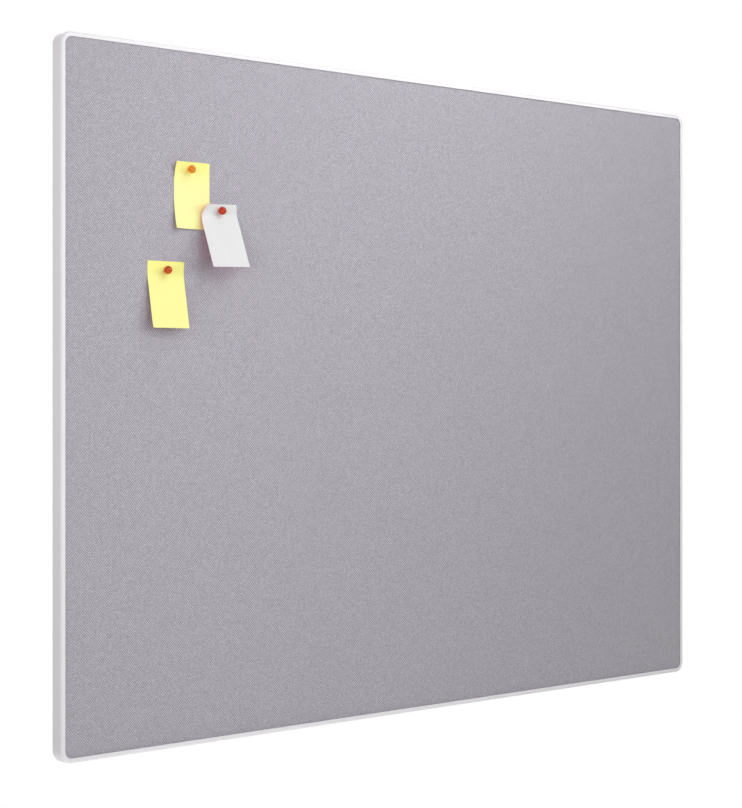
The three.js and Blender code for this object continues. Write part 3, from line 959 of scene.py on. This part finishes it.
class PINBOARD_OT_screws(PinboardOperator):
    """Builds the countersunk screws with their cross recesses."""

    bl_idname = "pinboard.screws"
    bl_label = "Corner screws"

    tip = 0.001
    tip_cover = 0.0005
    recess_reach = 0.0016
    recess_width = 0.0006
    recess_depth = 0.0013
    recess_floor_share = 0.45
    rim_share = 0.15
    side_turn, next_turn = 0.5, 0.7
    sharp_turn = 0.5

    def recess(self, sizes, place, turn):
        """The cutter for a cross recess that narrows to its floor."""
        reach, half = self.recess_reach, self.recess_width / 2
        arm = [Vector((half, half)), Vector((reach, half)), Vector((reach, -half))]
        quarters = [Matrix.Rotation(-QUARTER * i, 2) for i in range(4)]
        outline = [quarter @ point for quarter in quarters for point in arm]
        floor = self.recess_floor_share
        stations = []
        for level, share in [(-CUT_OVERRUN, 1), (sizes.head_sink, 1), (self.recess_depth, floor)]:
            flat = basis(RIGHT * share, UP * share, OUTWARD, (0, -level, 0))
            stations.append(Matrix.Translation(place) @ Matrix.Rotation(turn, 4, "Y") @ flat)
        return swept("recess", outline, stations)

    def execute(self, context):
        sizes = context.scene.pinboard_frame
        zinc = finish_of(zinc_plate, sizes.zinc)
        leg_front = sizes.rear_lip + sizes.channel - sizes.fit
        end = leg_front - self.tip_cover
        rim = sizes.head_height * self.rim_share
        for side in SIDES:
            for i, place in enumerate(screw_places(sizes, side)):
                turn = self.next_turn * i + self.side_turn * SIDES.index(side)
                screw = turned(f"{side}_countersunk_screw_{i + 1}", [
                    (0, sizes.head_sink),
                    (sizes.screw_head - rim / 2, sizes.head_sink),
                    (sizes.screw_head, sizes.head_sink + rim),
                    (sizes.screw_radius, sizes.head_sink + sizes.head_height),
                    (sizes.screw_radius, end - self.tip),
                    (0, end),
                ], SCREW_SIDES, place)
                join_or_cut(screw, "DIFFERENCE", self.recess(sizes, place, turn))
                make_crisp(screw, self.sharp_turn)
                dress(screw, f"{side}_rail_screw_{i + 1}", "board", "zinc_steel", zinc)
        return {"FINISHED"}


class PINBOARD_OT_boards(PinboardOperator):
    """Finishes the hardboard backing and the softboard core."""

    bl_idname = "pinboard.boards"
    bl_label = "Backing and core"

    edge = 0.0004
    skin_gap = 1e-6

    def execute(self, context):
        looks = context.scene.pinboard_board
        materials = {
            "backing_board": finish_of(hardboard, looks.hardboard),
            "softboard_core": finish_of(fibre_board, looks.softboard),
        }
        for node, material in materials.items():
            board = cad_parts[node]
            board.data.materials.clear()
            board.data.materials.append(material)
            board.modifiers.new("one_skin", "WELD").merge_threshold = self.skin_gap
            round_edges(board, self.edge)
        return {"FINISHED"}


class PINBOARD_OT_facing(PinboardOperator):
    """Builds the fabric facing, stretched over the core and turned over its edges."""

    bl_idname = "pinboard.facing"
    bl_label = "Fabric facing"

    arc_steps = 14
    bend_steps = 5
    sharp_turn = 0.9
    fade_power = 8
    # How much each wave of the swell turns across and up the board, and where it starts
    waves = ((17, 5, 0), (-7, 11, 1))

    def uneven(self, x, z, height):
        """The slight swell of a hand-stretched cloth, none at its edges."""
        across, up = x / board_width, (z - board_middle.z) / board_height
        fade = math.prod(max(0, 1 - (2 * share) ** self.fade_power) for share in (across, up))
        swell = sum(math.sin(a * across + b * up + start) for a, b, start in self.waves)
        return height * fade * swell / len(self.waves)

    def skin(self, half_width, half_height, level, cells, height):
        """The points of one flat skin's grid, and its rim as pairs of a point and a way out."""
        columns, rows = cells
        grid = []
        for j in range(rows + 1):
            for i in range(columns + 1):
                x = board_middle.x + half_width * (2 * i / columns - 1)
                z = board_middle.z + half_height * (2 * j / rows - 1)
                grid.append(Vector((x, -level - self.uneven(x, z, height), z)))
        rim = []
        for index, side in enumerate(grid_sides(columns, rows)):
            start = (index - 1) * QUARTER
            rim += [(at, start) for at in side]
            rim += [(side[-1], start + turn) for turn in quarter_turn(self.arc_steps)[1:-1]]
        return grid, rim

    def profile(self, looks, radius, front, rear):
        """How far out from the grid's rim each loop lies, and its level, from skin to skin."""
        outer, inner = [], []
        for loops, depth in ((outer, 0), (inner, looks.fabric_thickness)):
            bend = looks.fabric_bend - depth
            for turn in quarter_turn(self.bend_steps):
                out = radius - depth - bend * (1 - math.sin(turn))
                loops.append((out, front - depth - bend * (1 - math.cos(turn))))
        ends = [(radius, rear), (radius - looks.fabric_thickness, rear)]
        return [*outer, *ends, *reversed(inner)]

    def execute(self, context):
        looks = context.scene.pinboard_board
        sizes = context.scene.pinboard_frame
        low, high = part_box("fabric_facing")
        front, rear = -low.y, -high.y
        inset = low.x - board_low.x
        radius = corner_radius(sizes) - inset
        half_width, half_height = (high.x - low.x) / 2 - radius, (high.z - low.z) / 2 - radius
        cells = (round(2 * half_width / looks.grid), round(2 * half_height / looks.grid))
        grid, rim = self.skin(half_width, half_height, front, cells, looks.unevenness)
        points = list(grid)
        loops = [[at for at, _ in rim]]
        for out, level in self.profile(looks, radius, front, rear):
            loop = []
            for at, angle in rim:
                loop.append(len(points))
                points.append(Vector((grid[at].x, -level, grid[at].z)) + way_at(angle) * out)
            loops.append(loop)
        back = len(points)
        points += [point + WALLWARD * looks.fabric_thickness for point in grid]
        loops.append([back + at for at, _ in rim])
        faces = []
        for near, far in zip(loops, loops[1:]):
            for i in range(len(rim)):
                after = (i + 1) % len(rim)
                ring = tuple(dict.fromkeys((near[i], near[after], far[after], far[i])))
                faces += [ring] if len(ring) > 2 else []
        for start in (0, back):
            faces += [tuple(start + at for at in cell) for cell in grid_cells(*cells)]
        facing = smooth(solid("stretched_fabric", points, faces), self.sharp_turn)
        material = finish_of(woven_fabric, looks)
        dress(facing, "fabric_facing", "board", "grey_fabric", material)
        return {"FINISHED"}


class PINBOARD_OT_clips(PinboardOperator):
    """Builds the four pressed wall clips."""

    bl_idname = "pinboard.clips"
    bl_label = "Wall clips"

    round_end_gap = 1e-6

    def side_view(self, sizes, clips, sheet, tongue_rear, tip, plate_end):
        """The clip's bent sheet in u and v: tongue, joggle and plate."""
        start = sizes.flange_width + sizes.fit
        end = start + clips.joggle_run
        shift = sheet * math.tan(math.atan2(tongue_rear, clips.joggle_run) / 2)
        edge, inner = clips.edge_round, clips.inner_bend
        outer = inner + sheet
        return outline_of([
            (tip, tongue_rear, edge),
            (start, tongue_rear, inner),
            (end, 0, outer),
            (plate_end, 0, edge),
            (plate_end, sheet, edge),
            (end + shift, sheet, inner),
            (start + shift, tongue_rear + sheet, outer),
            (tip, tongue_rear + sheet, edge),
        ])

    def plan(self, wide, high, radius, middle):
        """A cutter with a rounded oblong plan, right through the clip."""
        places = [(0, -level, 0) for level in (-CUT_OVERRUN, frame_depth)]
        stations = [basis(RIGHT, UP, OUTWARD, place) for place in places]
        return swept("plan", oblong(wide, high, radius, middle), stations)

    def clip(self, name, sizes, clips, low, high):
        """A clip in the bottom side's own frame."""
        wide, tall = high.x - low.x, high.z - low.z
        tongue_rear = sizes.rear_lip + sizes.fit
        sheet = -low.y - tongue_rear
        tip = sizes.wall + sizes.fit
        plate_end = tip + tall
        section = self.side_view(sizes, clips, sheet, tongue_rear, tip, plate_end)
        piece = extruded(name, section, wide / 2 + CUT_OVERRUN)
        blank = self.plan(wide, tall, clips.corner_round, (tip + plate_end) / 2)
        join_or_cut(piece, "INTERSECT", blank)
        plate_start = sizes.flange_width + sizes.fit + clips.joggle_run
        middle = (plate_start + plate_end) / 2
        round_end = clips.slot_width / 2 - self.round_end_gap
        slot = self.plan(clips.slot_width, clips.slot_length, round_end, middle)
        join_or_cut(piece, "DIFFERENCE", slot)
        round_edges(piece, clips.edge_round)
        apply_modifiers(piece)
        return piece

    def execute(self, context):
        sizes, clips = context.scene.pinboard_frame, context.scene.pinboard_clips
        zinc = finish_of(zinc_plate, sizes.zinc)
        for clip in CLIPS:
            low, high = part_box(f"{clip}_wall_clip")
            side = "top" if clip.startswith("upper") else "bottom"
            piece = self.clip(f"{clip}_pressed_clip", sizes, clips, low, high)
            shift = Matrix.Translation(((low.x + high.x) / 2 - board_middle.x, 0, 0))
            piece.data.transform(shift @ side_place(side))
            make_crisp(piece)
            dress(piece, f"{clip}_wall_clip", f"{clip}_clip", "zinc_steel", zinc)
        return {"FINISHED"}


YELLOW_SHEET = {"slot": "yellow_paper", "width": 0.0575, "height": 0.0865, "turn": 0}

# A note bends forward across its width, from bend_start below its pin. A corner rolls forward: -1
# or 1 for left or right, -1 or 1 for bottom or top, how far from it along the edges the roll
# starts, and the roll's radius.
NOTES = {
    "yellow_note_upper": {
        **YELLOW_SHEET,
        "body": "upper_yellow_sheet",
        "pin_body": "upper_yellow_pin",
        "pin_from_left": 0.0246,
        "pin_from_top": 0.0099,
        "bend_start": 0.033,
        "bend_radius": 0.06,
        "bend_angle": math.radians(1.5),
        "corners": ((-1, 1, 0.03, 0.04), (1, 1, 0.0045, 0.048), (-1, -1, 0.041, 0.09)),
    },
    "yellow_note_lower": {
        **YELLOW_SHEET,
        "body": "lower_yellow_sheet",
        "pin_body": "lower_yellow_pin",
        "pin_from_left": 0.0285,
        "pin_from_top": 0.0114,
        "bend_start": 0.002,
        "bend_radius": 0.058,
        "bend_angle": math.radians(10.4),
        "corners": ((-1, 1, 0.0077, 0.022), (1, 1, 0.0103, 0.008), (-1, -1, 0.0107, 0.0225)),
    },
    "white_note": {
        "body": "white_sheet",
        "pin_body": "white_sheet_pin",
        "slot": "white_paper",
        "width": 0.0615,
        "height": 0.087,
        "pin_from_left": 0.0336,
        "pin_from_top": 0.0087,
        "turn": math.radians(-1.8),
        "bend_start": 0.002,
        "bend_radius": 0.014,
        "bend_angle": math.radians(19.8),
        "lies_on": "yellow_note_upper",
        "corners": ((-1, 1, 0.026, 0.0145),),
    },
}


def pin_foot(note):
    """Where the axis of a note's pin meets the flat under its ball."""
    low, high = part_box(f"{note}_pin_head")
    return Vector(((low.x + high.x) / 2, high.y, (low.z + high.z) / 2))


def smooth_rise(share):
    share = min(max(share, 0), 1)
    return share * share * (3 - 2 * share)


class PINBOARD_OT_notes(PinboardOperator):
    """Builds the three bent paper notes."""

    bl_idname = "pinboard.notes"
    bl_label = "Notes"

    # Where the white note rises over the one below it, left of its pin
    rise_from = 0.001
    rise_to = 0.0165
    clearance = 0.0003
    paper_in_frame = 0.0003
    slope_step = 1e-4
    sharp_turn = 0.9

    def roll(self, at, fold, way, radius, limit):
        """Rolls what lies past a fold line forward on a cylinder until it has turned by the
        limit, and on straight from there. at holds x, z and the height."""
        past = (at.x - fold[0]) * way[0] + (at.y - fold[1]) * way[1]
        if past <= 0:
            return at
        angle = min(past / radius, limit)
        straight = past - radius * angle
        slide = radius * math.sin(angle) + straight * math.cos(angle) - past
        lift = radius * (1 - math.cos(angle)) + straight * math.sin(angle)
        return at + Vector((way[0] * slide, way[1] * slide, lift))

    def bent(self, note, at):
        fold = (0, -note["bend_start"])
        return self.roll(at, fold, (0, -1), note["bend_radius"], note["bend_angle"])

    def surface(self, note, across, down):
        """Where a point of the sheet lies from its pin: x to the right, y forward, z up."""
        left, top = -note["pin_from_left"], note["pin_from_top"]
        at = Vector((left + across * note["width"], top - down * note["height"], 0))
        slant = math.sqrt(0.5)
        for sideways, up, reach, radius in note["corners"]:
            edge = left if sideways < 0 else left + note["width"]
            end = top if up > 0 else top - note["height"]
            fold, way = (edge - sideways * reach, end), (sideways * slant, up * slant)
            at = self.roll(at, fold, way, radius, QUARTER)
        if "lies_on" in note:
            under = NOTES[note["lies_on"]]
            bottom = Vector((0, under["pin_from_top"] - under["height"], 0))
            lift = self.bent(under, bottom).z + self.paper_in_frame + self.clearance
            share = (-at.x - self.rise_from) / (self.rise_to - self.rise_from)
            at.z += lift * smooth_rise(share)
        at = self.bent(note, at)
        return Vector((at.x, -at.z, at.y))

    def sheet(self, name, note, looks):
        """A closed thin sheet, and for each of its faces 1 on the reverse and 0 elsewhere."""
        columns, rows = round(note["width"] / looks.cell), round(note["height"] / looks.cell)
        step = self.slope_step
        rear, front = [], []
        for row in range(rows + 1):
            for column in range(columns + 1):
                across, down = column / columns, row / rows
                point = self.surface(note, across, down)
                beside = self.surface(note, across + step, down) - point
                below = self.surface(note, across, down + step) - point
                rear.append(point)
                front.append(point + below.cross(beside).normalized() * looks.thickness)
        offset = len(rear)
        reverse = grid_cells(columns, rows)
        facing = [tuple(offset + cell[i] for i in (0, 3, 2, 1)) for cell in reverse]
        rim = [at for side in grid_sides(columns, rows) for at in side[:-1]]
        facing += [(b, a, offset + a, offset + b) for a, b in zip(rim, rim[1:] + rim[:1])]
        mesh = bpy.data.meshes.new(name)
        mesh.from_pydata([*rear, *front], [], facing + reverse)
        return added(name, mesh), [0] * len(facing) + [1] * len(reverse)

    def papers(self, name, looks, top):
        """The front and back materials of a note."""
        shade, painted_bounce_colour, back, entry = {
            "yellow_note_upper":
                (looks.yellow, looks.painted_bounce_yellow, looks.yellow_back, looks.yellow_entry),
            "yellow_note_lower":
                (looks.lower_yellow_with_painted_light, looks.painted_bounce_yellow, looks.yellow_back, looks.yellow_entry),
            "white_note":
                (looks.white, looks.white, looks.pink, looks.white_entry),
        }[name]
        return (
            note_paper(f"{name}_front", shade, painted_bounce_colour, entry, looks, top),
            note_paper(f"{name}_back", back, back, looks.back_passing, looks, top),
        )

    def execute(self, context):
        looks = context.scene.pinboard_notes
        for name, note in NOTES.items():
            piece, reverse = self.sheet(f"{name}_paper", note, looks)
            pin = pin_foot(name)
            place = Vector((pin.x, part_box(name)[1].y, pin.z))
            turn = Matrix.Rotation(note["turn"], 4, "Y")
            piece.data.transform(Matrix.Translation(place) @ turn)
            smooth(piece, self.sharp_turn)
            papers = self.papers(name, looks, pin.z + note["pin_from_top"])
            dress(piece, name, note["body"], note["slot"], *papers)
            piece.data.polygons.foreach_set("material_index", reverse)
        return {"FINISHED"}


class PINBOARD_OT_pins(PinboardOperator):
    """Builds the ball-headed pins."""

    bl_idname = "pinboard.pins"
    bl_label = "Pins"

    ball_sides, ball_steps = 56, 28
    needle_sides = 20
    fit = 0.0003
    sharp_turn = 0.5
    # The needle's taper: shares of its radius and of the taper's length
    point_shares = ((0.25, 0.15), (0.7, 0.55), (1, 1))

    def head(self, name, pins, foot):
        """A ball cut flat at its foot, with the socket that its needle stands in."""
        middle = math.sqrt(pins.ball_radius ** 2 - pins.foot_radius ** 2)
        start = math.asin(pins.foot_radius / pins.ball_radius)
        hole = pins.needle_radius + self.fit
        profile = [(0, pins.socket_depth), (hole, pins.socket_depth), (hole, 0)]
        for i in range(self.ball_steps):
            angle = start + (math.pi - start) * i / self.ball_steps
            radius = pins.ball_radius * math.sin(angle)
            profile.append((radius, middle - pins.ball_radius * math.cos(angle)))
        profile.append((0, middle + pins.ball_radius))
        return turned(f"{name}_ball", profile, self.ball_sides, foot)

    def needle(self, name, pins, foot):
        """A needle that stands in the ball and tapers to its point in the board."""
        tip = foot.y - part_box(f"{name}_pin_needle")[1].y
        end = pins.socket_depth - self.fit
        radius, taper = pins.needle_radius, pins.needle_point
        point = [(radius * wide, tip + taper * far) for wide, far in self.point_shares]
        profile = [(0, tip), *point, (radius, end), (0, end)]
        return turned(f"{name}_needle", profile, self.needle_sides, foot)

    def execute(self, context):
        pins = context.scene.pinboard_pins
        # One plastic per pin, in colours that carry painted light
        lit_pin_shades = {
            "yellow_note_upper": pins.upper,
            "white_note": pins.middle,
            "yellow_note_lower": pins.lower,
        }
        steel = finish_of(needle_steel)
        for name, note in NOTES.items():
            foot = pin_foot(name)
            plastic = pin_plastic(f"{name}_pin_plastic", lit_pin_shades[name], pins.clearness)
            head = smooth(self.head(name, pins, foot), self.sharp_turn)
            dress(head, f"{name}_pin_head", note["pin_body"], "orange_plastic", plastic)
            needle = smooth(self.needle(name, pins, foot), self.sharp_turn)
            dress(needle, f"{name}_pin_needle", note["pin_body"], "needle_steel", steel)
        return {"FINISHED"}


OPERATORS = (
    PINBOARD_OT_stage,
    PINBOARD_OT_rails,
    PINBOARD_OT_corners,
    PINBOARD_OT_screws,
    PINBOARD_OT_boards,
    PINBOARD_OT_facing,
    PINBOARD_OT_clips,
    PINBOARD_OT_notes,
    PINBOARD_OT_pins,
)


class PINBOARD_PT_builders(bpy.types.Panel):
    """Lists the builders, and the sizes and colours that they use."""

    bl_idname = "PINBOARD_PT_builders"
    bl_label = "Pinboard"
    bl_space_type = "VIEW_3D"
    bl_region_type = "UI"
    bl_category = "Pinboard"

    def draw(self, context):
        for operator in OPERATORS:
            self.layout.operator(operator.bl_idname)
        for name, group in GROUPS.items():
            box = self.layout.box()
            box.label(text=name.replace("_", " ").capitalize())
            for setting in group.__annotations__:
                box.prop(getattr(context.scene, name), setting)


CLASSES = (*GROUPS.values(), *OPERATORS, PINBOARD_PT_builders)


def register():
    for each in CLASSES:
        bpy.utils.register_class(each)
    for name, group in GROUPS.items():
        setattr(bpy.types.Scene, name, bpy.props.PointerProperty(type=group))


def unregister():
    for name in GROUPS:
        delattr(bpy.types.Scene, name)
    for each in reversed(CLASSES):
        bpy.utils.unregister_class(each)


def main():
    register()
    for operator in OPERATORS:
        group, name = operator.bl_idname.split(".")
        getattr(getattr(bpy.ops, group), name)()


if __name__ == "__main__":
    main()
